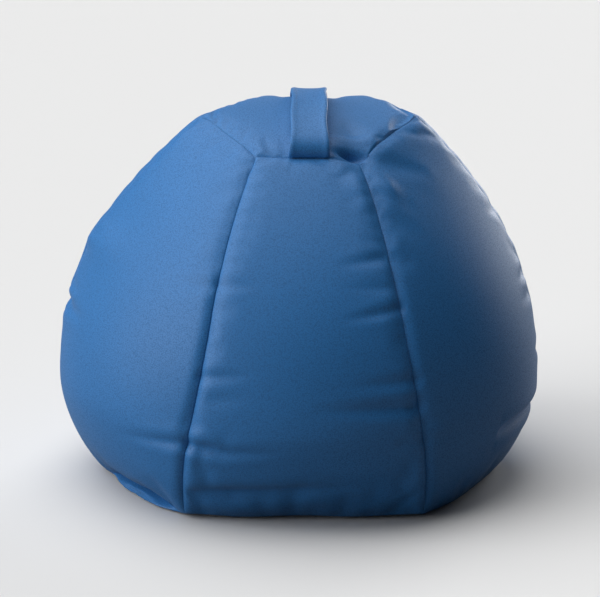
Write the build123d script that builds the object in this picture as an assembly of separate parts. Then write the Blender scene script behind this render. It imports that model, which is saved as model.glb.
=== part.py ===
"""A six-panel bean bag chair: sewn cover, carry handle, zips, inner liner and bead filling.

Millimetres. +Z is up, the origin is on the floor under the middle of the bag, and the front is -Y.
The six seams stand at the corners of a hexagon whose corners lie on the X axis.
"""

import os
from math import cos, radians, sin, sqrt

from build123d import *

# ---- The filled bag ----
widest_radius = 420.0  # axis to a seam at the belly
widest_height = 174.0  # height of the belly above the floor
cap_height = 632.0  # top face of the cap
cap_radius = 192.0  # axis to a corner of the cap
base_radius = 352.0  # axis to a corner of the base
shoulder_power = 2.3  # how late the shoulder falls in to the cap
foot_power = 2.2  # how late the foot tucks under to the base
cap_roundness = 0.30  # 0 is a straight-sided hexagon, 1 is a circle
belly_roundness = 0.85
base_roundness = 0.50
panel_count = 6
rings_below = 4
rings_above = 6

# ---- Cover and liner cloth ----
cover_cloth = 2.0  # side panels, with their backing
cap_cloth = 2.0
base_cloth = 2.0
liner_cloth = 1.0
cloth_gap = 0.6  # liner to cover, and filling to liner
overcut = 1.0  # how far a cutting solid runs past what it cuts

# ---- Carry handle ----
handle_width = 64.0
handle_thickness = 7.0
handle_rise = 60.0  # cap to the top of the strap
handle_tilt = 35.0  # degrees to each side
handle_clearance = 1.5  # least gap between the tilted strap and the cap
handle_edge_round = 2.4
sewn_end_gap = 0.4  # between the moving strap and its sewn ends
webbing_width = 50.0
webbing_thickness = 2.4
webbing_clearance = 0.3

# ---- Zips ----
zip_length = 460.0  # closed chain
chain_gap = 1.2  # between the two rows
tooth_width = 3.0
tooth_height = 3.2
tape_width = 16.4
tape_thickness = 0.8
tape_overlap = 12.0  # tape past each end of the chain
slider_length = 14.0
slider_plate = 1.0
slider_flange = 1.2
slider_clearance = 0.3
slider_post_length = 4.0
slider_post_thickness = 0.7
stop_length = 4.0
top_stop_length = 3.0

# ---- Pull tab of the cover zip ----
pull_length = 24.0
pull_width = 8.0
pull_neck_width = 5.4
pull_thickness = 1.4
pull_eye_radius = 1.8
pull_pin_radius = 0.7
pull_pin_clearance = 0.1
pull_hole_radius = 2.0
pull_drop = 2.0  # slider plate to the pin's axis
ear_thickness = 1.2
ear_gap = 0.3  # ear to the pull's neck
ear_length = 3.6

# ---- Recesses for the zips ----
trench_depth = 10.0  # floor to the cover zip's tape
trench_half_width = 14.0
trench_spare = 4.0  # past the pull at each end
tray_half_width = 24.0
tray_slot_half_width = 12.0
stack_gap = 1.5  # cover slider to liner slider

# ---- Worked out from the above ----
panel_angle = 360.0 / panel_count
flat_share = cos(radians(panel_angle / 2))
cap_underside = cap_height - cap_cloth
trench_half_length = zip_length / 2 + pull_length + trench_spare
slider_half_height = tooth_height / 2 + slider_clearance + slider_plate
slider_half_width = chain_gap / 2 + tooth_width + slider_clearance + slider_flange
cover_chain_height = trench_depth + tape_thickness / 2
liner_chain_height = cover_chain_height + 2 * slider_half_height + stack_gap
liner_tape_height = liner_chain_height - tape_thickness / 2
liner_inset = cover_cloth + cloth_gap
liner_low = base_cloth + cloth_gap
liner_high = cap_underside - cloth_gap
filling_inset = liner_inset + liner_cloth + cloth_gap
filling_low = liner_low + liner_cloth + cloth_gap
filling_high = liner_high - liner_cloth - cloth_gap
slider_rest = (zip_length - slider_length) / 2 - slider_clearance
cap_half_depth = cap_radius * (flat_share + cap_roundness * (1 - flat_share))


def seam_radius(height):
    """Distance from the axis to the seams at one height."""
    if height >= widest_height:
        rise = (height - widest_height) / (cap_height - widest_height)
        return cap_radius + (widest_radius - cap_radius) * (1 - rise**shoulder_power)
    tuck = (widest_height - height) / widest_height
    return base_radius + (widest_radius - base_radius) * (1 - tuck**foot_power)


def roundness(height):
    """How round the bag's section is at one height."""
    if height >= widest_height:
        share = (height - widest_height) / (cap_height - widest_height)
        return belly_roundness + (cap_roundness - belly_roundness) * share
    share = (widest_height - height) / widest_height
    return belly_roundness + (base_roundness - belly_roundness) * share


def ring(height, inset=0.0):
    """The bag's outline at one height: one arc for each panel, from seam to seam."""
    corner = seam_radius(height) - inset
    middle = corner * (flat_share + roundness(height) * (1 - flat_share))
    edges = []
    for panel in range(panel_count):
        points = []
        for turn, radius in ((0, corner), (0.5, middle), (1, corner)):
            angle = radians((panel + turn) * panel_angle)
            points.append((radius * cos(angle), radius * sin(angle), height))
        edges.append(ThreePointArc(*points))
    return Wire(edges)


def block(x_low, x_high, y_low, y_high, z_low, z_high):
    """A box between its limits on each axis."""
    size = (x_high - x_low, y_high - y_low, z_high - z_low)
    return Pos(x_low, y_low, z_low) * Box(*size, align=(Align.MIN, Align.MIN, Align.MIN))


def bag_solid(inset, low, high):
    """The bag's shape moved in by an inset, and cut off level at two heights."""
    lowest, highest = -overcut, cap_height + overcut
    heights = [lowest + (widest_height - lowest) * step / rings_below for step in range(rings_below)]
    heights += [
        widest_height + (highest - widest_height) * step / rings_above for step in range(rings_above + 1)
    ]
    whole = Solid.make_loft([ring(height, inset) for height in heights])
    reach = 2 * widest_radius
    return whole & block(-reach, reach, -reach, reach, low, high)


def bag_shell(inset, thickness, low, high):
    """A wall of cloth that follows the bag, open above and below."""
    inside = bag_solid(inset + thickness, low - overcut, high + overcut)
    return bag_solid(inset, low, high) - inside


def bag_plate(outline_height, low, thickness):
    """A flat sheet with the bag's outline at one height."""
    face = Face(ring(outline_height)).moved(Location((0, 0, low - outline_height)))
    return extrude(face, amount=thickness, dir=(0, 0, 1))


def half_of(shape, side):
    """The part of a shape in front of (side -1) or behind (side 1) the XZ plane."""
    reach = 2 * widest_radius
    low, high = sorted((0.0, side * reach))
    return shape & block(-reach, reach, low, high, -reach, reach)


# ---- Cover panels ----
def side_panels():
    """The six side panels, cut from one wall along the seams."""
    wall = bag_shell(0.0, cover_cloth, base_cloth, cap_underside)
    names = ["back_right", "back", "back_left", "front_left", "front", "front_right"]
    reach = 2 * widest_radius
    panels = {}
    for number, name in enumerate(names):
        corners = [(0.0, 0.0)]
        for seam in (number, number + 1):
            angle = radians(seam * panel_angle)
            corners.append((reach * cos(angle), reach * sin(angle)))
        wedge = extrude(make_face(Polyline(*corners, close=True)), amount=2 * cap_height)
        panels[f"side_panel_{name}"] = wall & wedge
    return panels


def top_cap():
    """The hexagon of cloth that closes the top."""
    return bag_plate(cap_underside, cap_underside, cap_cloth)


def base_panels():
    """The two halves of the base, turned up along the trench that hides the zip."""
    base = bag_solid(0.0, 0.0, base_cloth)
    length, width = trench_half_length, trench_half_width
    outer = block(
        -length - base_cloth, length + base_cloth, -width - base_cloth, width + base_cloth, 0.0, trench_depth
    )
    trench = block(-length, length, -width, width, -overcut, trench_depth + overcut)
    base = base + outer - trench
    return {"base_panel_front": half_of(base, -1), "base_panel_back": half_of(base, 1)}


# ---- Carry handle ----
top_of_strap = cap_height + handle_rise
strap_half_span = cap_half_depth - handle_thickness / 2
outer_arc_radius = (strap_half_span**2 + handle_rise**2) / (2 * handle_rise)
inner_arc_radius = outer_arc_radius - handle_thickness
arc_centre_height = top_of_strap - outer_arc_radius
least_lift = (handle_clearance + handle_width / 2 * sin(radians(handle_tilt))) / cos(radians(handle_tilt))
hinge_cut = sqrt(inner_arc_radius**2 - (cap_height + least_lift - arc_centre_height) ** 2)


def arch(width, outer, inner):
    """A strap bent over the cap from front to back, square to the X axis."""
    centre = (-width / 2, 0, arc_centre_height)
    axis = Plane(origin=centre, x_dir=(0, 1, 0), z_dir=(1, 0, 0))
    profile = Circle(outer) - Circle(inner)
    return extrude(axis * profile, amount=width)


def handle():
    """The strap that lifts and tilts, its webbing core, and the two ends sewn into the cap seam."""
    strap = arch(handle_width, outer_arc_radius, inner_arc_radius)
    reach = widest_radius
    low_of_strap = cap_height
    moving_zone = block(
        -reach, reach, -hinge_cut + sewn_end_gap, hinge_cut - sewn_end_gap, low_of_strap, top_of_strap + reach
    )
    middle_radius = (outer_arc_radius + inner_arc_radius) / 2
    half_core = webbing_thickness / 2
    half_hollow = half_core + webbing_clearance
    hollow = arch(
        webbing_width + 2 * webbing_clearance, middle_radius + half_hollow, middle_radius - half_hollow
    )
    core = arch(webbing_width, middle_radius + half_core, middle_radius - half_core)
    moving = strap & moving_zone
    long_edges = [edge for edge in moving.edges() if edge.length > hinge_cut]
    pieces = {
        "handle_strap": fillet(long_edges, handle_edge_round) - hollow,
        "handle_webbing": core & moving_zone,
    }
    for name, side in (("front", -1), ("back", 1)):
        y_low, y_high = sorted((side * hinge_cut, side * reach))
        end_zone = block(-reach, reach, y_low, y_high, low_of_strap, top_of_strap)
        end = strap & end_zone
        long_edges = end.edges().filter_by(GeomType.CIRCLE)
        pieces[f"handle_end_{name}"] = fillet(long_edges, handle_edge_round)
    return pieces


# ---- Zips ----
def zip_chain(name, height):
    """Two tapes with their rows of teeth, and the stops at both ends of the chain."""
    half = zip_length / 2
    row_low, row_high = chain_gap / 2, chain_gap / 2 + tooth_width
    teeth_low, teeth_high = height - tooth_height / 2, height + tooth_height / 2
    tape_low, tape_high = height - tape_thickness / 2, height + tape_thickness / 2
    tape_end = half + tape_overlap
    pieces = {}
    top_stops = []
    for side_name, side in (("front", -1), ("back", 1)):
        y_low, y_high = sorted((side * row_low, side * row_high))
        pieces[f"{name}_zip_teeth_{side_name}"] = block(-half, half, y_low, y_high, teeth_low, teeth_high)
        top_stops.append(block(half, half + top_stop_length, y_low, y_high, teeth_low, teeth_high))
        y_low, y_high = sorted((side * row_high, side * (row_high + tape_width)))
        pieces[f"{name}_zip_tape_{side_name}"] = block(-tape_end, tape_end, y_low, y_high, tape_low, tape_high)
    pieces[f"{name}_zip_top_stops"] = Compound(children=top_stops)
    pieces[f"{name}_zip_bottom_stop"] = block(
        -half - stop_length, -half, -row_high, row_high, teeth_low, teeth_high
    )
    return pieces


def zip_slider(height):
    """The slider body round a closed chain: two plates, a post between the rows and four side flanges."""
    x_low, x_high = slider_rest - slider_length / 2, slider_rest + slider_length / 2
    wide = slider_half_width
    inside = wide - slider_flange
    channel = tooth_height / 2 + slider_clearance
    lip = tape_thickness / 2 + slider_clearance
    slider = block(
        x_high - slider_post_length, x_high, -slider_post_thickness / 2, slider_post_thickness / 2,
        height - channel, height + channel,
    )
    for up in (-1, 1):
        z_low, z_high = sorted((height + up * channel, height + up * slider_half_height))
        slider += block(x_low, x_high, -wide, wide, z_low, z_high)
        z_low, z_high = sorted((height + up * lip, height + up * channel))
        for side in (-1, 1):
            y_low, y_high = sorted((side * inside, side * wide))
            slider += block(x_low, x_high, y_low, y_high, z_low, z_high)
    return slider


plate_underside = cover_chain_height - slider_half_height
pin_height = plate_underside - pull_drop
pin_x = slider_rest + slider_length / 2 - ear_length / 2


def cross_pin(radius, length):
    """A round bar along Y on the pull tab's axis."""
    return Pos(pin_x, 0, pin_height) * Rot(90, 0, 0) * Cylinder(radius, length)


def cover_slider():
    """The cover zip's slider, with the two ears and the pin that carry the pull tab."""
    slider = zip_slider(cover_chain_height)
    inner = pull_neck_width / 2 + ear_gap
    outer = inner + ear_thickness
    for side in (-1, 1):
        y_low, y_high = sorted((side * inner, side * outer))
        slider += block(
            pin_x - ear_length / 2, pin_x + ear_length / 2, y_low, y_high,
            pin_height - pull_pin_radius, plate_underside,
        )
    return slider + cross_pin(pull_pin_radius, 2 * outer)


def cover_pull():
    """The pull tab, lying along the closed chain."""
    half_thick = pull_thickness / 2
    neck_end = pin_x - slider_length / 2
    tip = pin_x - pull_length
    tab = block(
        neck_end, pin_x, -pull_neck_width / 2, pull_neck_width / 2, pin_height - half_thick, pin_height + half_thick
    )
    blade = block(
        tip, neck_end, -pull_width / 2, pull_width / 2, pin_height - half_thick, pin_height + half_thick
    )
    blade = fillet(blade.edges().filter_by(Axis.Z), pull_width / 4)
    tab = tab + blade + cross_pin(pull_eye_radius, pull_neck_width)
    tab -= cross_pin(pull_pin_radius + pull_pin_clearance, 2 * pull_neck_width)
    return tab - Pos(tip + pull_width / 2, 0, pin_height) * Cylinder(pull_hole_radius, 2 * pull_thickness)


# ---- Inner liner and filling ----
def liner():
    """The bag inside the cover: two wall halves, a top, and a base raised over the cover's zip."""
    wall = bag_shell(liner_inset, liner_cloth, liner_low + liner_cloth, liner_high - liner_cloth)
    base = bag_solid(liner_inset, liner_low, liner_low + liner_cloth)
    length = trench_half_length + base_cloth + cloth_gap
    outer_length, outer_width = length + liner_cloth, tray_half_width + liner_cloth
    tray = block(-outer_length, outer_length, -outer_width, outer_width, liner_low, liner_tape_height)
    hollow = block(
        -length, length, -tray_half_width, tray_half_width, -overcut, liner_tape_height - liner_cloth
    )
    slot_length = zip_length / 2 + top_stop_length + stop_length
    slot = block(
        -slot_length, slot_length, -tray_slot_half_width, tray_slot_half_width, 0.0, liner_tape_height + overcut
    )
    base = base + tray - hollow - slot
    return {
        "liner_wall_front": half_of(wall, -1),
        "liner_wall_back": half_of(wall, 1),
        "liner_top": bag_solid(liner_inset, liner_high - liner_cloth, liner_high),
        "liner_base_front": half_of(base, -1),
        "liner_base_back": half_of(base, 1),
    }


def bead_filling():
    """The beads as one body, hollowed over the zips."""
    length = trench_half_length + base_cloth + liner_cloth + 2 * cloth_gap
    width = tray_half_width + liner_cloth + cloth_gap
    top = liner_chain_height + slider_half_height + cloth_gap
    room = block(-length, length, -width, width, -overcut, top)
    return bag_solid(filling_inset, filling_low, filling_high) - room


pieces = {"top_cap": top_cap(), "bead_filling": bead_filling()}
pieces |= side_panels()
pieces |= base_panels()
pieces |= handle()
pieces |= liner()
pieces |= zip_chain("cover", cover_chain_height)
pieces |= zip_chain("liner", liner_chain_height)
pieces["cover_zip_slider"] = cover_slider()
pieces["cover_zip_pull"] = cover_pull()
pieces["liner_zip_slider"] = zip_slider(liner_chain_height)

os.makedirs("parts", exist_ok=True)
for node, shape in pieces.items():
    export_step(shape, f"parts/{node}.step")

print("hinge cut", round(hinge_cut, 2), "strap top", top_of_strap, "slider rest", slider_rest)
print("pin", round(pin_x, 3), round(pin_height, 3), "trench half length", trench_half_length)
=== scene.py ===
"""A leatherette bean bag chair: six side panels, a hexagonal cap, a zipped base and a carry handle.

Metres. +Z is up, the origin is on the floor under the middle of the bag, and the front is -Y.
"""

from math import cos, pi, radians, sin

import bpy
import numpy as np
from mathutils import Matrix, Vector


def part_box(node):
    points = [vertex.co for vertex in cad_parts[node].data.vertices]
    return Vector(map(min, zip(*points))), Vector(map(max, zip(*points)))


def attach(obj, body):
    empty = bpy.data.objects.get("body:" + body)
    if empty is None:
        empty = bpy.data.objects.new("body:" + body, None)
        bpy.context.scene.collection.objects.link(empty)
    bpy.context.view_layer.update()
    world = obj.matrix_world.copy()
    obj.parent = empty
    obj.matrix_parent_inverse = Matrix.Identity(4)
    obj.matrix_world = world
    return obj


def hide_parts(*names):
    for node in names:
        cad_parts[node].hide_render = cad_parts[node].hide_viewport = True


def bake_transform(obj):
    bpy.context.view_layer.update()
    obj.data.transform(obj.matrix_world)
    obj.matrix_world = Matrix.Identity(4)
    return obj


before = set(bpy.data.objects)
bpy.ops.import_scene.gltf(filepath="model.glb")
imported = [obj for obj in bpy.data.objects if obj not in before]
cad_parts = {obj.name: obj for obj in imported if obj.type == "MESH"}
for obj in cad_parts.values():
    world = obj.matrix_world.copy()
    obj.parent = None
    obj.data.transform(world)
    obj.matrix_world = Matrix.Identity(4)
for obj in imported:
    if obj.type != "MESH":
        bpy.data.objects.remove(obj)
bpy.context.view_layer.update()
bpy.ops.object.select_all(action="DESELECT")

# ---- The filled bag ----
# The cover is one bag of cloth sewn from six tall side panels, a hexagonal cap and a base.
# It is laid out along its seams, which keep their place, and the cloth between them is then
# blown out by the filling in a short cloth simulation.

cap_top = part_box("top_cap")[1].z
floor_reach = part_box("base_panel_back")[1].x  # axis to a corner of the base
belly_height = 0.174
shoulder_power = 2.3  # how late a seam falls in to the cap
foot_power = 1.9  # how late it tucks under to the base
seam_low = 0.007  # the base seam, over the floor

# Each seam, going round from +X: its corner of the cap, its distance from the axis at the belly and at
# the base, and the way it faces at mid height and at the base, in degrees.
SEAMS = [
    {"corner": (0.205, 0.000), "belly": 0.418, "base": floor_reach, "middle": 0.0, "foot": 0.0},
    {"corner": (0.116, 0.166), "belly": 0.417, "base": floor_reach, "middle": 59.0, "foot": 58.0},
    {"corner": (-0.064, 0.166), "belly": 0.418, "base": floor_reach, "middle": 119.0, "foot": 121.0},
    {"corner": (-0.172, 0.000), "belly": 0.423, "base": floor_reach, "middle": 180.0, "foot": 180.0},
    {"corner": (-0.075, -0.166), "belly": 0.417, "base": floor_reach - 0.002, "middle": 247.3, "foot": 236.5},
    {"corner": (0.102, -0.166), "belly": 0.417, "base": floor_reach + 0.009, "middle": 296.5, "foot": 305.0},
]
PANELS = ["back_right", "back", "back_left", "front_left", "front", "front_right"]
STRAIGHT_FEET = {4: 0.9, 5: 0.5}  # how nearly straight the foot is, on the front and front right panels
side_roundness = 0.92  # how nearly round the side is between two seams, at the belly
columns = 28  # cells across a panel, seam to seam
rows = 52  # cells up a panel, base to cap
bunching = 0.45  # how much finer the cells are near the seams
middle_height = 0.35  # where a seam faces its middle angle
cap_fullness = 0.004  # the beads lift the middle of the cap this much over the plain solid
cap_slope = 0.142  # the cap rises this much per metre towards the back
cap_sag = 0.002  # how far the cap's edge hangs between two corners
lip_rise = 0.010  # how far the base seam has slipped up at the front left
lip_tuck = 0.075  # share of its radius by which the slipped seam is drawn in under the bag
lip_height = 0.10  # share of a panel's rows over which it is drawn in
underside = 0.002  # height of the closed bag's flat bottom


def cap_surface(x, y):
    """Height of the cap's cloth, which slopes to the front and sinks at its front right corner."""
    bend = np.where(y > 0, 0.85, 0.45)
    sunk = 0.013 * np.exp(-((x - 0.106) ** 2 + (y + 0.166) ** 2) / 0.035**2)
    saddle = 0.004 * np.exp(-((x - 0.03) ** 2 + (y - 0.166) ** 2) / 0.05**2)
    return cap_top + cap_fullness + cap_slope * y - bend * y * y - sunk - saddle


def shares(count, finer):
    """Steps from 0 to 1 that are finer near both ends."""
    t = np.linspace(0, 1, count + 1)
    return (1 - finer) * t + finer * (1 - np.cos(pi * t)) / 2


def turned_up(angle):
    """Where the base seam has slipped up and in under the bag, at the front left."""
    return np.exp(-(((angle - 213) / 17) ** 4))


def base_seam_height(angle):
    """The base seam lies near the floor, and higher where it has slipped up."""
    return seam_low + lip_rise * turned_up(angle) + 0.0015 * np.sin(np.radians(angle * 11))


def seam_line(seam):
    """Points up one seam as (angle in degrees, radius, height), evenly spread along its length."""
    x, y = seam["corner"]
    corner_radius = np.hypot(x, y)
    corner_angle = np.degrees(np.arctan2(y, x)) % 360
    corner_turn = (corner_angle - seam["middle"] + 180) % 360 - 180
    top = cap_surface(x, y)
    heights = np.linspace(float(base_seam_height(seam["foot"] % 360)), top, 400)
    rise = np.clip((heights - belly_height) / (top - belly_height), 0, 1)
    tuck = np.clip((belly_height - heights) / belly_height, 0, 1)
    radius = np.where(
        heights > belly_height,
        corner_radius + (seam["belly"] - corner_radius) * (1 - rise**shoulder_power),
        seam["base"] + (seam["belly"] - seam["base"]) * (1 - tuck**foot_power),
    )
    above = np.clip((heights - middle_height) / (top - middle_height), 0, 1)
    below = np.clip((middle_height - heights) / middle_height, 0, 1)
    angle = seam["middle"] + corner_turn * above**2.5 + (seam["foot"] - seam["middle"]) * below**1.6
    a = np.radians(angle)
    points = np.stack([radius * np.cos(a), radius * np.sin(a), heights], 1)
    length = np.concatenate([[0], np.cumsum(np.linalg.norm(np.diff(points, axis=0), axis=1))])
    wanted = shares(rows, bunching) * length[-1]
    return np.stack([np.interp(wanted, length, v) for v in (angle, radius, heights)], 1)


def panel_grid(number):
    """The cloth of one side panel between its two seams, as rows of points from base to cap."""
    left, right = seam_line(SEAMS[number]), seam_line(SEAMS[(number + 1) % 6])
    u = shares(columns, bunching)[None, :]
    v = np.linspace(0, 1, rows + 1)[:, None]
    turn = (right[:, :1] - left[:, :1]) % 360
    angle = left[:, :1] + turn * u
    span, here = np.radians(turn), np.radians(turn * u)
    r_left, r_right = left[:, 1:2], right[:, 1:2]
    chord = r_left * r_right * np.sin(span) / (r_left * np.sin(here) + r_right * np.sin(span - here))
    arc = r_left + (r_right - r_left) * u
    height = left[:, 2:] + (right[:, 2:] - left[:, 2:]) * u
    share_up = np.clip((height - belly_height) / (cap_top - belly_height), 0, 1)
    share_down = np.clip((belly_height - height) / belly_height, 0, 1)
    straight_foot = STRAIGHT_FEET.get(number, 0.35)
    roundness = side_roundness * (1 - share_up**1.6) * (1 - straight_foot * share_down)
    radius = chord + roundness * (arc - chord)
    a = np.radians(angle)
    points = np.stack([radius * np.cos(a), radius * np.sin(a), height], 2)
    near_cap = np.clip((v - 0.88) / 0.12, 0, 1)[..., 0] ** 2
    edge = cap_surface(points[-1, :, 0], points[-1, :, 1])
    sag = cap_sag * np.sin(pi * u[0]) ** 2
    points[:, :, 2] += near_cap[:, None] * (edge - sag - points[-1, :, 2])[None, :]
    near_base = np.clip(1 - v[:, 0] / 0.2, 0, 1) ** 2
    low = base_seam_height(angle[0] % 360)
    points[:, :, 2] += near_base[:, None] * (low - points[0, :, 2])[None, :]
    tucked = np.clip(1 - v / lip_height, 0, 1) ** 2 * turned_up(angle % 360)
    points[:, :, :2] *= 1 - lip_tuck * tucked[..., None]
    return points


def shares_of(n):
    """Steps along a cap patch: even at the centre and finer at the seam."""
    t = np.linspace(0, 1, n)
    return 0.55 * t + 0.45 * np.sin(pi * t / 2)


def coons(a_line, b_line, far_b, far_a):
    """A patch of four edges: a_line and b_line leave the same corner, far_b faces a_line."""
    n = len(a_line)
    s, t = shares_of(n)[:, None, None], shares_of(n)[None, :, None]
    ruled = (1 - t) * a_line[:, None] + t * far_b[:, None] + (1 - s) * b_line[None] + s * far_a[None]
    corners = (
        (1 - s) * (1 - t) * a_line[0] + s * (1 - t) * a_line[-1] + (1 - s) * t * far_b[0] + s * t * far_b[-1]
    )
    return ruled - corners


def hexagon_patches(rims, centre):
    """Three four-sided patches that fill a hexagonal rim round a centre."""
    patches = []
    for k in range(3):
        first, second = rims[2 * k], rims[2 * k + 1]
        spoke = shares_of(columns + 1)[:, None]
        to_first = centre + (first[0] - centre) * spoke
        to_last = centre + (second[-1] - centre) * spoke
        patches.append(coons(to_first, to_last, second[::-1], first))
    return patches


grids = [panel_grid(k) for k in range(6)]
cap_rims = [grid[-1] for grid in grids]
base_rims = [grid[0] for grid in grids]
cap_centre = np.array([0.0165, 0.0, cap_surface(0.0, 0.0)])
cap_patches = hexagon_patches(cap_rims, cap_centre)
for patch in cap_patches:
    inside = slice(0, columns)
    patch[inside, inside, 2] = cap_surface(patch[inside, inside, 0], patch[inside, inside, 1])
base_patches = hexagon_patches(base_rims, np.array([0.0, 0.0, underside]))
for patch in base_patches:
    patch[:columns, :columns, 2] = underside


def grid_faces(high, wide, start=0):
    """The four-sided faces between the rows and columns of a grid of points."""
    corners = [start + i * wide + j for i in range(high - 1) for j in range(wide - 1)]
    return [(a, a + 1, a + wide + 1, a + wide) for a in corners]


def new_piece(name, points, faces):
    """An object with a mesh of its own."""
    mesh = bpy.data.meshes.new(name)
    mesh.from_pydata(points.reshape(-1, 3).tolist(), [], faces)
    piece = bpy.data.objects.new(name, mesh)
    bpy.context.scene.collection.objects.link(piece)
    return piece


def build_cage():
    """One closed mesh of every grid, with material numbers: 0 to 5 the side panels, 6 the cap, 7 the base."""
    vertices, faces, owner = [], [], []
    for number, grid in enumerate(grids + cap_patches + base_patches):
        start = sum(len(part) for part in vertices)
        vertices.append(grid.reshape(-1, 3))
        made = grid_faces(*grid.shape[:2], start)
        faces += made
        owner += [number if number < 6 else 6 + (number - 6) // 3] * len(made)
    cage = new_piece("bag_cage", np.concatenate(vertices), faces)
    cage.data.polygons.foreach_set("material_index", owner)
    for number in range(8):
        cage.data.materials.append(bpy.data.materials.new(f"cage_{number}"))
    return cage


def only(obj):
    """Selects one object and makes it the active one."""
    bpy.ops.object.select_all(action="DESELECT")
    obj.select_set(True)
    bpy.context.view_layer.objects.active = obj


def clean(obj, merge):
    """Merges doubles and turns every face outwards."""
    only(obj)
    bpy.ops.object.mode_set(mode="EDIT")
    bpy.ops.mesh.select_all(action="SELECT")
    bpy.ops.mesh.remove_doubles(threshold=merge)
    bpy.ops.mesh.normals_make_consistent(inside=False)
    bpy.ops.object.mode_set(mode="OBJECT")


def vertex_array(mesh, what="co"):
    """Every vertex's place or normal, as an array."""
    values = np.zeros(len(mesh.vertices) * 3, np.float32)
    mesh.vertices.foreach_get(what, values)
    return values.reshape(-1, 3).astype(float)


def set_vertices(mesh, places):
    """Moves every vertex to its new place."""
    mesh.vertices.foreach_set("co", places.astype(np.float32).ravel())
    mesh.update()


cage = build_cage()
clean(cage, 0.00005)


def seam_edges(mesh, piece=None):
    """Edges where two different pieces of cloth meet, or where one piece meets any other."""
    pieces = {}
    for face in mesh.polygons:
        for key in face.edge_keys:
            pieces.setdefault(key, set()).add(face.material_index)
    return {key for key, found in pieces.items() if len(found) > 1 and (piece is None or piece in found)}


seam_keys = seam_edges(cage.data)
sewn = cage.vertex_groups.new(name="sewn")
on_seam = sorted({v for key in seam_keys for v in key})
sewn.add(on_seam, 1.0, "REPLACE")
closure = sorted({v for face in cage.data.polygons if face.material_index == 7 for v in face.vertices})
sewn.add(closure, 1.0, "REPLACE")

cloth_ease = -0.012  # the cloth is cut this share larger than the shape
filling_push = 3.0
most_swell = 0.012  # the furthest that the filling may push the cloth out
rest_places = vertex_array(cage.data)
only(cage)
cloth = cage.modifiers.new("cloth", "CLOTH")
cloth.settings.quality = 6
cloth.settings.mass = 0.3
cloth.settings.tension_stiffness = 25
cloth.settings.compression_stiffness = 25
cloth.settings.shear_stiffness = 8
cloth.settings.bending_stiffness = 1.5
cloth.settings.air_damping = 3
cloth.settings.vertex_group_mass = "sewn"
cloth.settings.pin_stiffness = 1.0
cloth.settings.shrink_min = cloth_ease
cloth.settings.use_pressure = True
cloth.settings.uniform_pressure_force = filling_push
cloth.settings.effector_weights.gravity = 0
cloth.collision_settings.use_collision = False
cloth.point_cache.frame_end = 30
for step in range(1, 26):
    bpy.context.scene.frame_set(step)
bpy.ops.object.modifier_apply(modifier="cloth")
bpy.context.scene.frame_set(1)
swell = vertex_array(cage.data) - rest_places
size = np.linalg.norm(swell, axis=1, keepdims=True) + 1e-9
swell *= most_swell * np.tanh(size / most_swell) / size
set_vertices(cage.data, rest_places + swell)


def distance_to(points, starts, ends):
    """Distance from every point to the nearest of some straight stretches, in blocks."""
    along = ends - starts
    found = []
    for first in range(0, len(points), 500):
        p = points[first : first + 500, None]
        t = np.clip(((p - starts) * along).sum(2) / (along**2).sum(1), 0, 1)
        found.append(np.linalg.norm(p - starts - t[..., None] * along, axis=2).min(1))
    return np.concatenate(found)


# How far each point lies from the nearest seam, which the dividing below spreads over the new points.
coarse_places = vertex_array(cage.data)
ends = np.array(sorted(seam_keys))
to_seams = distance_to(coarse_places, coarse_places[ends[:, 0]], coarse_places[ends[:, 1]])
near_seam = cage.data.attributes.new("near_seam", "FLOAT", "POINT")
near_seam.data.foreach_set("value", to_seams.astype(np.float32))

inner_cages = []
for _ in range(2):
    inner = cage.copy()
    inner.data = cage.data.copy()
    bpy.context.scene.collection.objects.link(inner)
    inner_cages.append(inner)

# A crease keeps every seam from rounding off when the cage is divided.
seam_sharpness = 0.35
crease = cage.data.attributes.new("crease_edge", "FLOAT", "EDGE")
for edge in cage.data.edges:
    if edge.key in seam_keys:
        crease.data[edge.index].value = seam_sharpness
only(cage)
divide = cage.modifiers.new("divide", "SUBSURF")
divide.levels = divide.render_levels = 2
bpy.ops.object.modifier_apply(modifier="divide")

# ---- Seams, folds and puckers ----
# The filling presses the cloth out, and the stitches hold it in: every seam lies in a shallow valley
# with a sharp turned-in edge, and the slack gathers in short puckers beside the seams.

FOLDS = [
    # The long crease over the front left seam, above the slipped base.
    {"start": (251, 0.153), "end": (221, 0.146), "width": 0.0105, "depth": 0.0048, "bow": 0.004},
    {"start": (242, 0.152), "end": (267, 0.150), "width": 0.0105, "depth": 0.0052, "bow": -0.006},
    # The slack along the foot of the front panel.
    {"start": (240, 0.058), "end": (290, 0.082), "width": 0.016, "depth": 0.0085, "bow": -0.004},
    # Puckers on the front panel along its right seam.
    {"start": (296, 0.452), "end": (280, 0.447), "width": 0.008, "depth": 0.0024, "bow": 0.002},
    {"start": (298, 0.379), "end": (279, 0.366), "width": 0.008, "depth": 0.0032, "bow": 0.0},
    {"start": (300, 0.264), "end": (280, 0.262), "width": 0.010, "depth": 0.0024, "bow": 0.0},
    {"start": (300, 0.220), "end": (272, 0.226), "width": 0.012, "depth": 0.0048, "bow": 0.0},
    {"start": (292, 0.160), "end": (312, 0.156), "width": 0.010, "depth": 0.0022, "bow": 0.0},
    # Puckers on the front panel along its left seam.
    {"start": (246, 0.417), "end": (259, 0.416), "width": 0.008, "depth": 0.0020, "bow": 0.0},
    {"start": (245, 0.272), "end": (260, 0.281), "width": 0.009, "depth": 0.0026, "bow": 0.0},
    # The steps where the slack shows at the sides.
    {"start": (172, 0.305), "end": (204, 0.308), "width": 0.012, "depth": 0.0060, "bow": 0.0},
    {"start": (326, 0.128), "end": (376, 0.126), "width": 0.013, "depth": 0.0100, "bow": 0.0},
]
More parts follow.
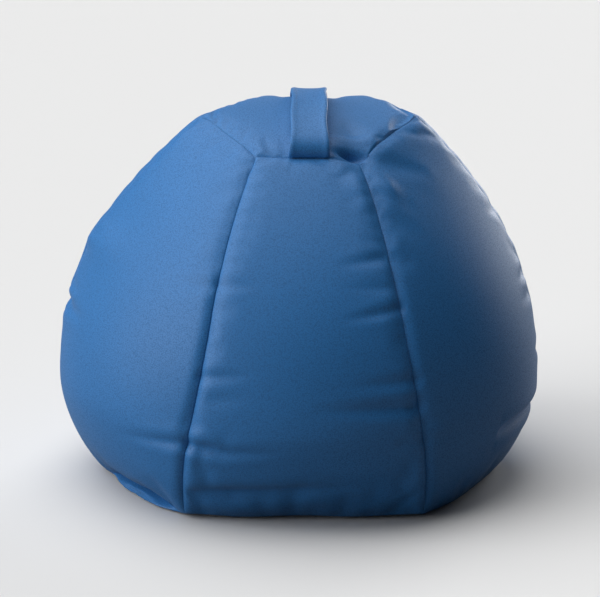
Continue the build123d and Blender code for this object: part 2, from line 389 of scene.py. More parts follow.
# Where the filling pushes the cloth out: angle, height, half widths in degrees and metres, and how far.
SWELLS = [
    (295, 0.545, 4.5, 0.022, 0.004),
    (308, 0.545, 4.5, 0.022, 0.005),
    (188, 0.425, 17, 0.030, 0.009),
]

# Small puckers beside all the seams, more of them at the back.
draw = np.random.default_rng(4)
for seam in SEAMS:
    at_front = seam["middle"] > 240
    for _ in range(3 if at_front else 7):
        at = draw.uniform(0.08, 0.50)
        side = draw.choice([-1, 1])
        reach = side * draw.uniform(9, 17)
        FOLDS.append({
            "start": (seam["middle"] + side * 0.8, at),
            "end": (seam["middle"] + reach, at + draw.uniform(-0.012, 0.012)),
            "width": draw.uniform(0.007, 0.011),
            "depth": draw.uniform(0.0010, 0.0030) * (0.5 if at_front else 1.0),
            "bow": 0.0,
        })


stitch_depth, stitch_width = 0.0016, 0.0030  # the turned-in edge of the cloth at a seam
valley_depth, valley_width = 0.0034, 0.0125  # the shallow valley along it
dimple_depth, rim_rise = 0.018, 0.0050  # the dimple in the cap, and the raised rim behind it


def ripple(offset, width):
    """A crease with a raised roll on each side, across its width."""
    x = offset / width
    return np.exp(-(x**2)) - 0.3 * np.exp(-(((np.abs(x) - 2.1) / 1.3) ** 2))


def fold(angle, height, start, end, width, depth, bow):
    """A fold across the side of the bag between two places, each (angle in degrees, height).

    It is deepest a quarter of the way from its start and fades out at both ends.
    """
    turn = end[0] - start[0]
    share = ((angle - start[0] + 180) % 360 - 180) / turn
    inside = (share > 0) & (share < 1) & (height < 0.56)
    fade = np.sin(pi * np.sqrt(np.clip(share, 0, 1))) ** 1.4
    line = start[1] + (end[1] - start[1]) * share + bow * fade
    return np.where(inside, depth * fade * ripple(height - line, width * (0.7 + 0.3 * fade)), 0.0)


def pressed_in(places, to_seam):
    """How far the stitches and the slack draw each point of the cover in.

    The stitches pull less at the cap's faint left edge, and hardly at all at the base seam.
    """
    x, y, height = places.T
    angle = np.degrees(np.arctan2(y, x)) % 360
    faint = np.clip((240 - angle) / 8, 0, 1) * np.clip((angle - 182) / 8, 0, 1)
    faint *= np.clip((height - 0.55) / 0.03, 0, 1)
    pull = (1 - 0.75 * faint) * (0.15 + 0.85 * np.clip((height - 0.006) / 0.04, 0, 1))
    inward = stitch_depth * np.exp(-((to_seam / stitch_width) ** 2))
    inward += valley_depth * np.exp(-((to_seam / valley_width) ** 2))
    inward *= pull
    for item in FOLDS:
        inward += fold(angle, height, **item)
    # The dimple in the cap beside its front right corner, with a raised rim behind it.
    on_cap = (height > 0.55) & (np.hypot(x, y) < 0.24)
    dimple = np.exp(-(((x - 0.086) / 0.023) ** 2) - ((y + 0.150) / 0.0095) ** 2)
    behind = np.exp(-(((x - 0.088) / 0.034) ** 2) - ((y + 0.118) / 0.012) ** 2)
    inward += np.where(on_cap, dimple_depth * dimple - rim_rise * behind, 0)
    for turn, level, half_turn, half_height, amount in SWELLS:
        off = (angle - turn + 180) % 360 - 180
        inward -= amount * np.exp(-((off / half_turn) ** 2) - ((height - level) / half_height) ** 2)
    return np.where(height < 0.004, 0.0, inward)


def seam_distance(mesh):
    """The distance to the nearest seam that each vertex carries."""
    values = np.zeros(len(mesh.vertices), np.float32)
    mesh.attributes["near_seam"].data.foreach_get("value", values)
    return values.astype(float)


def press(obj, further=0.0):
    """Draws a copy of the bag in along its seams and folds, and then further in all over."""
    places = vertex_array(obj.data)
    inward = pressed_in(places, seam_distance(obj.data)) + further
    set_vertices(obj.data, places - vertex_array(obj.data, "normal") * inward[:, None])


press(cage)


def floor_line(obj):
    """The points along the base seam of a bag, going round."""
    found = {v for key in seam_edges(obj.data, 7) for v in key}
    line = vertex_array(obj.data)[sorted(found)]
    return line[np.argsort(np.arctan2(line[:, 1], line[:, 0]) % (2 * pi))]


cover_rim = floor_line(cage)

# ---- Cover panels ----
# Each panel is leatherette on a woven backing, 2 mm thick, cut flat and sewn to its neighbours.
# Its edges are turned in along the seams, so that only the smooth face shows.

cloth_thickness = 0.002


def socket(group, name, kind, going_in, value=None):
    """Adds one named input or output to a node group."""
    made = group.interface.new_socket(name, in_out="INPUT" if going_in else "OUTPUT", socket_type=kind)
    if value is not None:
        made.default_value = value


def new_material(name):
    """A material, its node tree, its shader and the Object coordinates that it reads."""
    material = bpy.data.materials.new(name)
    material.use_nodes = True
    tree = material.node_tree
    place = tree.nodes.new("ShaderNodeTexCoord").outputs["Object"]
    return material, tree, tree.nodes["Principled BSDF"], place


def noise(tree, place, scale, detail=2):
    """A noise texture."""
    made = tree.nodes.new("ShaderNodeTexNoise")
    made.inputs["Scale"].default_value = scale
    made.inputs["Detail"].default_value = detail
    tree.links.new(place, made.inputs["Vector"])
    return made


def tint(tree, share, first, second):
    """A mix of two colours by a share."""
    made = tree.nodes.new("ShaderNodeMix")
    made.data_type = "RGBA"
    made.inputs["A"].default_value = (*first, 1)
    made.inputs["B"].default_value = (*second, 1)
    tree.links.new(share, made.inputs["Factor"])
    return made


def darker(colour, share):
    """A colour made darker, or lighter with a share over one, never past white."""
    return [min(1, c * share) for c in colour]


def ranged(tree, value, low, high, target=None):
    """A value from 0 to 1 spread between two others, and led to an input if one is given."""
    made = tree.nodes.new("ShaderNodeMapRange")
    made.inputs["To Min"].default_value = low
    made.inputs["To Max"].default_value = high
    tree.links.new(value, made.inputs["Value"])
    if target is not None:
        tree.links.new(made.outputs["Result"], target)
    return made


def bumped(tree, height, shader, strength, distance):
    """Relief on a shader's surface."""
    made = tree.nodes.new("ShaderNodeBump")
    made.inputs["Strength"].default_value = strength
    made.inputs["Distance"].default_value = distance
    tree.links.new(height, made.inputs["Height"])
    tree.links.new(made.outputs["Normal"], shader.inputs["Normal"])
    return made


def leather_grain_group():
    """Pebbled grain: a height for bump, and a mask of the hollows between the pebbles."""
    group = bpy.data.node_groups.new("pebble_grain", "ShaderNodeTree")
    socket(group, "Vector", "NodeSocketVector", True)
    socket(group, "Pebbles per metre", "NodeSocketFloat", True, 500.0)
    socket(group, "Height", "NodeSocketFloat", False)
    socket(group, "Hollows", "NodeSocketFloat", False)
    nodes, links = group.nodes, group.links
    put_in, put_out = nodes.new("NodeGroupInput"), nodes.new("NodeGroupOutput")
    wander = noise(group, put_in.outputs["Vector"], 160, 1)
    shift = nodes.new("ShaderNodeVectorMath")
    shift.operation = "MULTIPLY_ADD"
    shift.inputs[1].default_value = (0.004, 0.004, 0.004)
    links.new(wander.outputs["Color"], shift.inputs[0])
    links.new(put_in.outputs["Vector"], shift.inputs[2])
    pebbles = nodes.new("ShaderNodeTexVoronoi")
    pebbles.feature = "SMOOTH_F1"
    pebbles.inputs["Smoothness"].default_value = 0.35
    links.new(shift.outputs["Vector"], pebbles.inputs["Vector"])
    links.new(put_in.outputs["Pebbles per metre"], pebbles.inputs["Scale"])
    pores = noise(group, put_in.outputs["Vector"], 1500)
    raised = nodes.new("ShaderNodeMath")
    raised.operation = "MULTIPLY_ADD"
    raised.inputs[1].default_value = -1.0
    links.new(pebbles.outputs["Distance"], raised.inputs[0])
    links.new(pores.outputs["Fac"], raised.inputs[2])
    links.new(raised.outputs["Value"], put_out.inputs["Height"])
    hollows = nodes.new("ShaderNodeMapRange")
    hollows.inputs["From Min"].default_value = 0.35
    hollows.inputs["From Max"].default_value = 0.75
    links.new(pebbles.outputs["Distance"], hollows.inputs["Value"])
    links.new(hollows.outputs["Result"], put_out.inputs["Hollows"])
    return group


pebble_grain = leather_grain_group()


def leatherette(name, colour, pebbles, roughness):
    """Matte leatherette: pebble grain, painted shade in the hollows between the pebbles, faint clouding of
    the colour and a soft sheen.
    """
    material, tree, shader, place = new_material(name)
    grain = tree.nodes.new("ShaderNodeGroup")
    grain.node_tree = pebble_grain
    grain.inputs["Pebbles per metre"].default_value = pebbles
    tree.links.new(place, grain.inputs["Vector"])
    bumped(tree, grain.outputs["Height"], shader, 0.22, 0.0006)
    cloud = noise(tree, place, 7, 4)
    clouded = tint(tree, cloud.outputs["Fac"], darker(colour, 0.92), darker(colour, 1.08))
    # Painted shade: the colour is darkened to 0.72 of itself in the hollows between the pebbles.
    hollow_shade = tint(tree, grain.outputs["Hollows"], colour, darker(colour, 0.72))
    tree.links.new(clouded.outputs["Result"], hollow_shade.inputs["A"])
    tree.links.new(hollow_shade.outputs["Result"], shader.inputs["Base Color"])
    ranged(tree, grain.outputs["Hollows"], roughness, roughness + 0.15, shader.inputs["Roughness"])
    shader.inputs["Sheen Weight"].default_value = 0.05
    shader.inputs["Sheen Roughness"].default_value = 0.4
    shader.inputs["Specular IOR Level"].default_value = 0.38
    return material


BLUE = (0.024, 0.165, 0.44)
blue_leatherette = leatherette("blue_leatherette", BLUE, 520, 0.48)


def give(piece, material):
    """The one material of a piece."""
    piece.data.materials.clear()
    piece.data.materials.append(material)


def name_piece(piece, name):
    """The name of a piece and of its mesh."""
    piece.name = piece.data.name = name


def apply_modifier(piece, kind, **settings):
    """Adds one modifier with its settings and applies it."""
    only(piece)
    modifier = piece.modifiers.new(kind.lower(), kind)
    for key, value in settings.items():
        setattr(modifier, key, value)
    bpy.ops.object.modifier_apply(modifier=modifier.name)


def split_by_material(obj):
    """The separate pieces of a bag, by the number of the cage material on them."""
    only(obj)
    bpy.ops.object.mode_set(mode="EDIT")
    bpy.ops.mesh.separate(type="MATERIAL")
    bpy.ops.object.mode_set(mode="OBJECT")
    found = {}
    for part in bpy.context.selected_objects:
        label = part.data.materials[part.data.polygons[0].material_index].name
        found[int(label.split("_")[1])] = part
        part.vertex_groups.clear()
    return found


def stand_for(piece, body, slot, *nodes):
    """A finished piece: what it moves with, and the plain solids that it stands for, which are hidden. The
    slot is not used.
    """
    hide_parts(*nodes)
    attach(piece, body)


def cut_area(piece):
    """Flat area of a sheet, from one face of its cloth, before it gets its thickness."""
    return sum(face.area for face in piece.data.polygons)


cover_parts = split_by_material(cage)
bpy.data.objects.remove(cover_parts.pop(7))
for number, piece in cover_parts.items():
    label = PANELS[number] if number < 6 else "cap"
    name_piece(piece, f"cover_{label}")
    give(piece, blue_leatherette)
    area = cut_area(piece)
    only(piece)
    bpy.ops.object.shade_smooth()
    apply_modifier(piece, "SOLIDIFY", thickness=cloth_thickness, offset=-1)
    stand_for(piece, "cover", "cover_leatherette", f"side_panel_{label}" if number < 6 else "top_cap")

# ---- Base panels ----
# The base is two halves of the same leatherette. They meet in a plain seam at each end of the zip,
# and between those they are turned up along the zip, which lies in a trench clear of the floor.

tape_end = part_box("cover_zip_tape_front")[1].x
trench_ends = (tape_end + 0.003, tape_end + 0.014)  # the swung pull tab reaches past the tape
lip_bulge = 0.036  # how far the slipped part of the base rolls out under the seam
rim_roll = 0.030  # how far in from its seam the base comes down to the floor
cover_floor_gap = 0.0012
trench_half_width = 0.0145
hem = 0.006  # the cloth turned up beside the zip
tunnel_hem = 0.016  # the same where the halves meet over the swung pull tab
ruck_height = 0.0022  # of the base's loose cloth over the floor


def base_half(side, rim_line, floor_gap, bulge, path, ends, name):
    """Half of a base, front (side -1) or back (side 1): cloth from its outer seam to the zip.

    path holds (distance from the middle, height) for the cloth along the zip, nearest the rim first,
    and ends holds how far along the zip the halves stay apart and how far they stay raised.
    """
    outer = rim_line[rim_line[:, 1] * side > -0.0005]
    outer = outer[np.argsort(outer[:, 0])]
    steps = shares(44, 0.75)[:, None]
    x, rim_y, rim_z = outer[None, :, 0], outer[None, :, 1] * side, outer[None, :, 2]
    half_width, low_edge = path[0]
    open_here, raised_here = (np.clip((end - np.abs(x)) / 0.006 + 0.5, 0, 1) for end in ends)
    inner_y = np.minimum(half_width * open_here, rim_y)
    y = rim_y + (inner_y - rim_y) * steps
    from_rim = np.clip((rim_y - y) / rim_roll, 0, 1)
    turn_width = hem + (tunnel_hem - hem) * raised_here * (1 - open_here)
    from_edge = np.clip((y - inner_y) / turn_width, 0, 1)
    turned = open_here * (1 - np.sqrt(1 - (1 - from_edge) ** 2))
    turned = turned + (1 - open_here) * (1 + np.cos(pi * from_edge)) / 2
    z = floor_gap + (rim_z - floor_gap) * (1 - from_rim) ** 2
    z = z + (low_edge * (0.45 + 0.55 * raised_here) - floor_gap) * turned
    ruck = 0.5 + 0.5 * np.sin(x * 21 + 1.3 * np.sin(y * 17)) * np.sin(y * 12 + np.sin(x * 19))
    z = z + ruck_height * ruck * np.minimum(from_edge, 1 - (1 - from_rim) ** 2)
    angle = np.degrees(np.arctan2(y * side, x + 0 * y)) % 360
    roll = np.sin(pi * np.clip(from_rim, 0, 1)) * turned_up(angle)
    crease = 1 - 0.45 * np.exp(-(((from_rim - 0.40) / 0.10) ** 2)) * np.exp(-(((angle - 214) / 8) ** 2))
    out = bulge * roll * crease
    a = np.radians(angle)
    points = np.stack([x + out * np.cos(a), y * side + out * np.sin(a), z], 2)
    rows_along = [points]
    for wanted_y, wanted_z in path[1:]:
        edge = points[-1:].copy()
        edge[..., 1] += side * (wanted_y - half_width) * open_here
        edge[..., 2] += (wanted_z - low_edge) * open_here
        rows_along.append(edge)
    points = np.concatenate(rows_along)
    half = new_piece(name, points, grid_faces(*points.shape[:2]))
    clean(half, 0.0002)
    if sum(face.normal.z * face.area for face in half.data.polygons) > 0:
        bpy.ops.object.mode_set(mode="EDIT")
        bpy.ops.mesh.select_all(action="SELECT")
        bpy.ops.mesh.flip_normals()
        bpy.ops.object.mode_set(mode="OBJECT")
    bpy.ops.object.shade_smooth()
    return half


tape_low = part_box("cover_zip_tape_front")[0].z
for label, side in (("front", -1), ("back", 1)):
    trench = [(trench_half_width, tape_low - 0.0002)]
    half = base_half(side, cover_rim, cover_floor_gap, lip_bulge, trench, trench_ends, f"cover_base_{label}")
    give(half, blue_leatherette)
    area = cut_area(half)
    apply_modifier(half, "SOLIDIFY", thickness=cloth_thickness, offset=-1)
    stand_for(half, "cover", "cover_leatherette", f"base_panel_{label}")

# ---- Inner liner ----
# A second bag of thin woven cloth holds the beads: a front and a back wall, a top and a base in two
# halves, sewn together. It is a little slack inside the cover, and has a short zip in its base.


def woven_group():
    """Plain weave: a height for bump, from threads that cross in X and Y and rise with Z."""
    group = bpy.data.node_groups.new("plain_weave", "ShaderNodeTree")
    socket(group, "Vector", "NodeSocketVector", True)
    socket(group, "Threads per metre", "NodeSocketFloat", True, 1500.0)
    socket(group, "Height", "NodeSocketFloat", False)
    nodes, links = group.nodes, group.links
    put_in, put_out = nodes.new("NodeGroupInput"), nodes.new("NodeGroupOutput")
    scaled = nodes.new("ShaderNodeVectorMath")
    scaled.operation = "SCALE"
    links.new(put_in.outputs["Vector"], scaled.inputs[0])
    links.new(put_in.outputs["Threads per metre"], scaled.inputs["Scale"])
    split = nodes.new("ShaderNodeSeparateXYZ")
    links.new(scaled.outputs["Vector"], split.inputs[0])
    waves = []
    for axis in ("X", "Y", "Z"):
        wave = nodes.new("ShaderNodeMath")
        wave.operation = "SINE"
        links.new(split.outputs[axis], wave.inputs[0])
        waves.append(wave)
    warp = nodes.new("ShaderNodeMath")
    warp.operation = "MULTIPLY"
    links.new(waves[0].outputs[0], warp.inputs[0])
    links.new(waves[1].outputs[0], warp.inputs[1])
    weft = nodes.new("ShaderNodeMath")
    weft.operation = "ADD"
    links.new(warp.outputs[0], weft.inputs[0])
    links.new(waves[2].outputs[0], weft.inputs[1])
    links.new(weft.outputs[0], put_out.inputs["Height"])
    return group


plain_weave = woven_group()


def woven(name, colour, threads, roughness):
    """Woven cloth or tape: crossing threads, with painted shade making the colour a little darker between
    them.
    """
    material, tree, shader, place = new_material(name)
    weave = tree.nodes.new("ShaderNodeGroup")
    weave.node_tree = plain_weave
    weave.inputs["Threads per metre"].default_value = threads
    tree.links.new(place, weave.inputs["Vector"])
    bumped(tree, weave.outputs["Height"], shader, 0.3, 0.0003)
    spread = ranged(tree, weave.outputs["Height"], 0, 1)
    spread.inputs["From Min"].default_value = -1.5
    spread.inputs["From Max"].default_value = 1.5
    # Painted shade: the colour is darker where the weave is low, between the threads.
    thread_gap_shade = tint(tree, spread.outputs["Result"], darker(colour, 0.75), colour)
    tree.links.new(thread_gap_shade.outputs["Result"], shader.inputs["Base Color"])
    worn = noise(tree, place, 40)
    ranged(tree, worn.outputs["Fac"], roughness, min(1, roughness + 0.15), shader.inputs["Roughness"])
    shader.inputs["Sheen Weight"].default_value = 0.2
    return material


liner_cloth = woven("liner_cloth", (0.72, 0.73, 0.74), 2600, 0.8)
liner_thickness = 0.0008
liner_depth = 0.008  # cover face to liner face
liner_floor_gap = 0.0042
liner_ruck = 0.0015  # half the height of the slack cloth's waves
lip_clearance = 0.02  # share of its radius by which the liner keeps further in over the lip
lip_reach = 0.08  # height up to which it does so

liner_cage, filling_cage = inner_cages
press(liner_cage, liner_depth)
in_from_lip = vertex_array(liner_cage.data)
lip_angle = np.degrees(np.arctan2(in_from_lip[:, 1], in_from_lip[:, 0])) % 360
near_lip = turned_up(lip_angle) * np.clip(1 - in_from_lip[:, 2] / lip_reach, 0, 1)
in_from_lip[:, :2] *= (1 - lip_clearance * near_lip)[:, None]
set_vertices(liner_cage.data, in_from_lip)
rucked = vertex_array(liner_cage.data)
wave = np.sin(rucked[:, 0] * 63) * np.sin(rucked[:, 1] * 57 + 1) * np.sin(rucked[:, 2] * 41)
rucked -= vertex_array(liner_cage.data, "normal") * liner_ruck * (1 + wave[:, None])
set_vertices(liner_cage.data, rucked)
apply_modifier(liner_cage, "SUBSURF", levels=1, render_levels=1)
liner_rim = floor_line(liner_cage)
liner_parts = split_by_material(liner_cage)


def join_parts(parts, name):
    """Several pieces of cloth as one, with the points along their common seams merged."""
    only(parts[0])
    for part in parts:
        part.select_set(True)
    bpy.ops.object.join()
    whole = bpy.context.object
    name_piece(whole, name)
    clean(whole, 0.0001)
    bpy.ops.object.shade_smooth()
    return whole


def finish_liner(piece, *nodes):
    """The liner's material, thickness and place."""
    give(piece, liner_cloth)
    area = cut_area(piece)
    apply_modifier(piece, "SOLIDIFY", thickness=liner_thickness, offset=-1)
    stand_for(piece, "cover", "liner_cloth", *nodes)
    return area


liner_halves = {
    "front": join_parts([liner_parts[3], liner_parts[4], liner_parts[5]], "liner_front"),
    "back": join_parts([liner_parts[0], liner_parts[1], liner_parts[2]], "liner_back"),
}
for label, half in liner_halves.items():
    area = finish_liner(half, f"liner_wall_{label}")
liner_cap = liner_parts[6]
name_piece(liner_cap, "liner_cap")
only(liner_cap)
bpy.ops.object.shade_smooth()
area = finish_liner(liner_cap, "liner_top")
bpy.data.objects.remove(liner_parts[7])

# Its base is raised over the cover's zip, and carries its own short zip on top of that tray.
liner_tape_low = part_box("liner_zip_tape_front")[0].z
under_tape = liner_tape_low - 0.0001
tray = [(0.0245, 0.012), (0.0243, under_tape - 0.0004), (0.0236, under_tape), (0.0080, under_tape)]
tray_ends = [tape_end + 0.016] * 2
for label, side in (("front", -1), ("back", 1)):
    half = base_half(side, liner_rim, liner_floor_gap, 0.0, tray, tray_ends, f"liner_floor_{label}")
    area = finish_liner(half, f"liner_base_{label}")

# ---- Bead filling ----
# Expanded polystyrene beads lie loose in the liner and push both bags out. They are shown as one body
# with a beaded surface, which is hollowed out underneath to leave room for the liner's zip.

filling_depth = liner_depth + 0.007
press(filling_cage, filling_depth)
name_piece(filling_cage, "bead_fill")
only(filling_cage)
bpy.ops.object.shade_smooth()
filling_low = 0.0075  # its underside on the liner's base
room_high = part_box("liner_zip_slider")[1].z + 0.0025  # its underside over the liner's zip
places = vertex_array(filling_cage.data)
over_tray = np.clip(1 - (np.abs(places[:, 1]) - 0.040) / 0.03, 0, 1) * (np.abs(places[:, 0]) < 0.30)
places[:, 2] = np.maximum(places[:, 2], filling_low + (room_high - filling_low) * over_tray)
set_vertices(filling_cage.data, places)


def beads(name):
    """White beads about 4 mm across, packed side by side, with painted shade in the gaps between them."""
    material, tree, shader, place = new_material(name)
    pack = tree.nodes.new("ShaderNodeTexVoronoi")
    pack.inputs["Scale"].default_value = 250
    tree.links.new(place, pack.inputs["Vector"])
    round_off = tree.nodes.new("ShaderNodeMath")
    round_off.operation = "POWER"
    round_off.inputs[1].default_value = 2.0
    tree.links.new(pack.outputs["Distance"], round_off.inputs[0])
    bumped(tree, round_off.outputs[0], shader, 1.0, 0.002).invert = True
    # Painted shade: the colour falls from near white on the beads to mid grey in the gaps between them.
    bead_gap_shade = tint(tree, round_off.outputs[0], (0.90, 0.90, 0.89), (0.45, 0.46, 0.47))
    tree.links.new(bead_gap_shade.outputs["Result"], shader.inputs["Base Color"])
    shader.inputs["Roughness"].default_value = 0.7
    return material


give(filling_cage, beads("polystyrene_beads"))
filling_cage.vertex_groups.clear()
stand_for(filling_cage, "cover", "polystyrene_beads", "bead_filling")

# ---- Carry handle ----
# A flat strap of leatherette round a webbing core. Both ends are caught in the seam of the cap,
# where the strap stands up before it bows over the middle of the cap.

strap_width = 0.0615
strap_thickness = 0.0066
webbing_width, webbing_thickness = 0.048, 0.0022
strap_x = 0.0155  # its middle, beside the middle of the bag
end_reach = 0.05  # how far from its sewn ends it is spread wider
edge_wave = 0.0011  # how far its edges wander
edge_lift = 0.0028  # how far they turn up
# The strap's middle line from front to back, as (y, z).
STRAP_LINE = [
    (-0.1650, 0.5955), (-0.1685, 0.6020), (-0.1688, 0.6100), (-0.1650, 0.6190), (-0.1555, 0.6290),
    (-0.1370, 0.6395), (-0.1040, 0.6540), (-0.0600, 0.6665), (-0.0200, 0.6725), (0.0200, 0.6730),
    (0.0600, 0.6690), (0.1000, 0.6600), (0.1330, 0.6490), (0.1540, 0.6395), (0.1640, 0.6300),
]


def strap_frames(line, count):
    """Evenly spread points of a smooth line in the YZ plane, their upward normals and way along it."""
    points = np.array(line)
    for _ in range(3):  # corner cutting keeps the ends
        ahead = 0.75 * points[:-1] + 0.25 * points[1:]
        behind = 0.25 * points[:-1] + 0.75 * points[1:]
        cut = np.stack([ahead, behind], 1).reshape(-1, 2)
        points = np.concatenate([points[:1], cut[1:-1], points[-1:]])
    length = np.concatenate([[0], np.cumsum(np.linalg.norm(np.diff(points, axis=0), axis=1))])
    wanted = np.linspace(0, length[-1], count)
    points = np.stack([np.interp(wanted, length, points[:, k]) for k in (0, 1)], 1)
    along = np.gradient(points, axis=0)
    along /= np.linalg.norm(along, axis=1, keepdims=True)
    return points, np.stack([-along[:, 1], along[:, 0]], 1), wanted


def strap_section(width, thickness, count):
    """A closed outline of a flat padded strap: thin in the middle and full at both edges."""
    turn = np.linspace(0, 2 * pi, count, endpoint=False)
    x = np.sign(np.cos(turn)) * np.abs(np.cos(turn)) ** 0.35
    z = np.sign(np.sin(turn)) * np.abs(np.sin(turn)) ** 0.55
    padded = 0.80 + 0.32 * np.exp(-(((np.abs(x) - 0.86) / 0.16) ** 2))
    return x * width / 2, z * padded * thickness / 2


def sweep(line, width, thickness, name, stations=150, around=44):
    """A strap of a given section along a line, closed at both ends."""
    points, up, length = strap_frames(line, stations)
    across, rise = strap_section(width, thickness, around)
    places = []
    for (y, z), (up_y, up_z), s in zip(points, up, length):
        from_front, from_back = s / end_reach, (s - length[-1]) / end_reach
        spread = 1 + 0.10 * np.exp(-(from_front**2)) + 0.06 * np.exp(-(from_back**2))
        wave = edge_wave * np.sin(s * 52 + np.where(across > 0, 0.6, 2.4))
        dish = edge_lift * ((across / (width / 2)) ** 2 - 0.5) * np.sin(pi * s / length[-1])
        x = strap_x + across * spread + wave * np.sign(across)
        lift = rise + dish
        places.append(np.stack([x, y + up_y * lift, z + up_z * lift], 1))
    places = np.array(places)
    faces = []
    for i in range(stations - 1):
        for j in range(around):
            a, b = i * around + j, i * around + (j + 1) % around
            faces.append((a, b, b + around, a + around))
    faces.append(tuple(range(around))[::-1])
    faces.append(tuple((stations - 1) * around + j for j in range(around)))
    piece = new_piece(name, places, faces)
    clean(piece, 0.00001)
    bpy.ops.object.shade_smooth()
    return piece


strap = sweep(STRAP_LINE, strap_width, strap_thickness, "strap_cover")
apply_modifier(strap, "SUBSURF", levels=1, render_levels=1)
give(strap, leatherette("handle_leatherette", BLUE, 520, 0.48))
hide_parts("handle_strap", "handle_end_front", "handle_end_back")
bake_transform(strap)

core_line = STRAP_LINE[4:-3]
core = sweep(core_line, webbing_width, webbing_thickness, "strap_webbing", 120, 24)
give(core, woven("webbing", (0.05, 0.06, 0.08), 1400, 0.7))
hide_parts("handle_webbing")
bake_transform(core)

# ---- Zips ----
# One moulded zip closes the cover and one the liner. Each has two woven tapes, two rows of teeth
# moulded on to their edges, stops at both ends and a slider. Only the cover's slider has a pull tab.


def box_at(low, high, name):
    """A box between two corners."""
    middle = [(a + b) / 2 for a, b in zip(low, high)]
    bpy.ops.mesh.primitive_cube_add(size=1, location=middle)
    made = bpy.context.object
    made.dimensions = [b - a for a, b in zip(low, high)]
    bpy.ops.object.transform_apply(location=True, rotation=True, scale=True)
    name_piece(made, name)
    return made


def softened(node, name, width):
    """A copy of a plain solid with its sharp edges rounded."""
    source = bpy.data.objects[node]
    copy = source.copy()
    copy.data = source.data.copy()
    copy.data.materials.clear()
    bpy.context.scene.collection.objects.link(copy)
    copy.parent = None
    copy.matrix_world = source.matrix_world
    only(copy)
    bpy.ops.object.transform_apply(location=True, rotation=True, scale=True)
    name_piece(copy, name)
    clean(copy, 0.00001)
    apply_modifier(copy, "DECIMATE", decimate_type="DISSOLVE", angle_limit=radians(4))
    apply_modifier(copy, "BEVEL", width=width, segments=2, limit_method="ANGLE", angle_limit=radians(35))
    bpy.ops.object.shade_smooth()
    apply_modifier(copy, "WEIGHTED_NORMAL", keep_sharp=True)
    return copy


def zip_plastic(name, colour):
    """Moulded acetal: even colour with a slight mottle, and a satin shine that varies a little."""
    material, tree, shader, place = new_material(name)
    mottle = noise(tree, place, 220, 3).outputs["Fac"]
    mottled = tint(tree, mottle, darker(colour, 0.85), darker(colour, 1.15))
    tree.links.new(mottled.outputs["Result"], shader.inputs["Base Color"])
    ranged(tree, mottle, 0.32, 0.48, shader.inputs["Roughness"])
    return material


def zip_alloy(name):
    """Cast zinc alloy under a dark nickel coat, rubbed a little brighter in places."""
    material, tree, shader, place = new_material(name)
    shader.inputs["Metallic"].default_value = 1.0
    rub = noise(tree, place, 340, 4).outputs["Fac"]
    rubbed = tint(tree, rub, (0.34, 0.34, 0.35), (0.58, 0.58, 0.59))
    tree.links.new(rubbed.outputs["Result"], shader.inputs["Base Color"])
    ranged(tree, rub, 0.24, 0.46, shader.inputs["Roughness"])
    return material


def tooth_row(node, side, pitch, shift, name):
    """A row of moulded teeth, each a rounded block on the tape's edge with a wider, thinner head."""
    low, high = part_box(node)
    near = min(abs(low.y), abs(high.y))
    far = max(abs(low.y), abs(high.y))
    tooth = pitch * 0.52
    body = box_at((0, near + 0.0011, low.z), (tooth, far, high.z), name)
    head_low = (-0.00012, near, low.z + 0.0006)
    head_high = (tooth + 0.00012, near + 0.0014, high.z - 0.0006)
    head = box_at(head_low, head_high, "head")
    only(body)
    head.select_set(True)
    bpy.ops.object.join()
    apply_modifier(body, "BEVEL", width=0.00022, segments=1, limit_method="ANGLE", angle_limit=radians(40))
    count = int((high.x - low.x - pitch) / pitch)
    apply_modifier(
        body, "ARRAY", count=count, use_relative_offset=False, use_constant_offset=True,
        constant_offset_displace=(pitch, 0, 0),
    )
    places = vertex_array(body.data)
    places[:, 0] += low.x + pitch * (0.2 + shift)
    places[:, 1] *= side
    set_vertices(body.data, places)
    clean(body, 0.000001)
    return body


tooth_pitch = 0.0030
navy_tape = woven("zip_tape", (0.015, 0.045, 0.12), 2200, 0.75)
white_tape = woven("liner_zip_tape", (0.66, 0.67, 0.68), 2200, 0.8)
navy_teeth = zip_plastic("zip_teeth", (0.012, 0.035, 0.10))
white_teeth = zip_plastic("liner_zip_teeth", (0.62, 0.63, 0.64))
alloy = zip_alloy("zip_metal")
for chain, tape_cloth, plastic in (("cover", navy_tape, navy_teeth), ("liner", white_tape, white_teeth)):
    for label, side, shift in (("front", -1, 0.0), ("back", 1, 0.5)):
        give(bpy.data.objects[f"{chain}_zip_tape_{label}"], tape_cloth)
        row = tooth_row(f"{chain}_zip_teeth_{label}", side, tooth_pitch, shift, f"{chain}_teeth_{label}")
        give(row, plastic)
        stand_for(row, "cover", "zip_teeth", f"{chain}_zip_teeth_{label}")
    for end in ("top_stops", "bottom_stop"):
        stop = softened(f"{chain}_zip_{end}", f"{chain}_{end}", 0.0005)
        give(stop, alloy)
        stand_for(stop, "cover", "zip_metal", f"{chain}_zip_{end}")

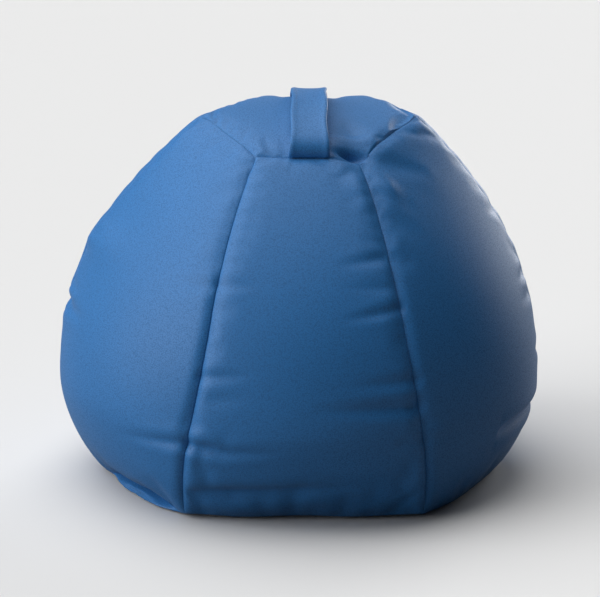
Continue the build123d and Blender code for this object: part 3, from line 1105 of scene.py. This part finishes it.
cover_runner = softened("cover_zip_slider", "cover_runner", 0.0005)
give(cover_runner, alloy)
stand_for(cover_runner, "cover_slider", "zip_metal", "cover_zip_slider")
pull_tab = softened("cover_zip_pull", "pull_tab", 0.0003)
give(pull_tab, alloy)
stand_for(pull_tab, "cover_pull", "zip_metal", "cover_zip_pull")
liner_runner = softened("liner_zip_slider", "liner_runner", 0.0005)
give(liner_runner, alloy)
stand_for(liner_runner, "liner_slider", "zip_metal", "liner_zip_slider")

# ---- Studio ----
# A pale floor under three wide soft lights: one overhead, one low at the left, one behind at the right.
# The camera stands well back, in front of the bag and a little above it.

camera_distance = 5.0
camera_tilt = radians(15)
view_width = 1.059  # across the view at the middle of the bag
look_at = Vector((0, 0, 0.305))
back = Vector((0, -cos(camera_tilt), sin(camera_tilt)))
bpy.ops.object.camera_add(location=look_at + back * camera_distance, rotation=(pi / 2 - camera_tilt, 0, 0))
camera = bpy.context.object
camera.data.sensor_width = 36
camera.data.lens = 36 * camera_distance / view_width
bpy.context.scene.camera = camera

bpy.ops.mesh.primitive_plane_add(size=60, location=(0, 0, 0))
floor = bpy.context.object
floor.name = "studio_floor"
floor_material = bpy.data.materials.new("studio_floor")
floor_material.use_nodes = True
floor_tree = floor_material.node_tree
floor_shader = floor_tree.nodes["Principled BSDF"]
# The floor is paler to the camera than to the bag, which it lights from below.
seen = floor_tree.nodes.new("ShaderNodeLightPath").outputs["Is Camera Ray"]
floor_tone = tint(floor_tree, seen, [0.24] * 3, [0.69] * 3)
floor_tree.links.new(floor_tone.outputs["Result"], floor_shader.inputs["Base Color"])
floor_shader.inputs["Roughness"].default_value = 0.9
floor.data.materials.append(floor_material)

world = bpy.context.scene.world or bpy.data.worlds.new("studio")
bpy.context.scene.world = world
world.use_nodes = True
world.node_tree.nodes["Background"].inputs["Color"].default_value = (1, 1, 1, 1)
world.node_tree.nodes["Background"].inputs["Strength"].default_value = 0.01


def soft_sun(direction, strength, spread):
    """A wide distant light that comes from a direction, with its spread in degrees."""
    aim = (-Vector(direction)).to_track_quat("-Z", "Y").to_euler()
    bpy.ops.object.light_add(type="SUN", rotation=aim)
    light = bpy.context.object
    light.data.energy = strength
    light.data.angle = radians(spread)


soft_sun((-0.30, 0.20, 0.93), 2.85, 75)
soft_sun((-0.90, -0.27, 0.33), 2.25, 50)
soft_sun((0.46, 0.88, 0.12), 2.0, 30)
bpy.context.scene.view_settings.view_transform = "Standard"
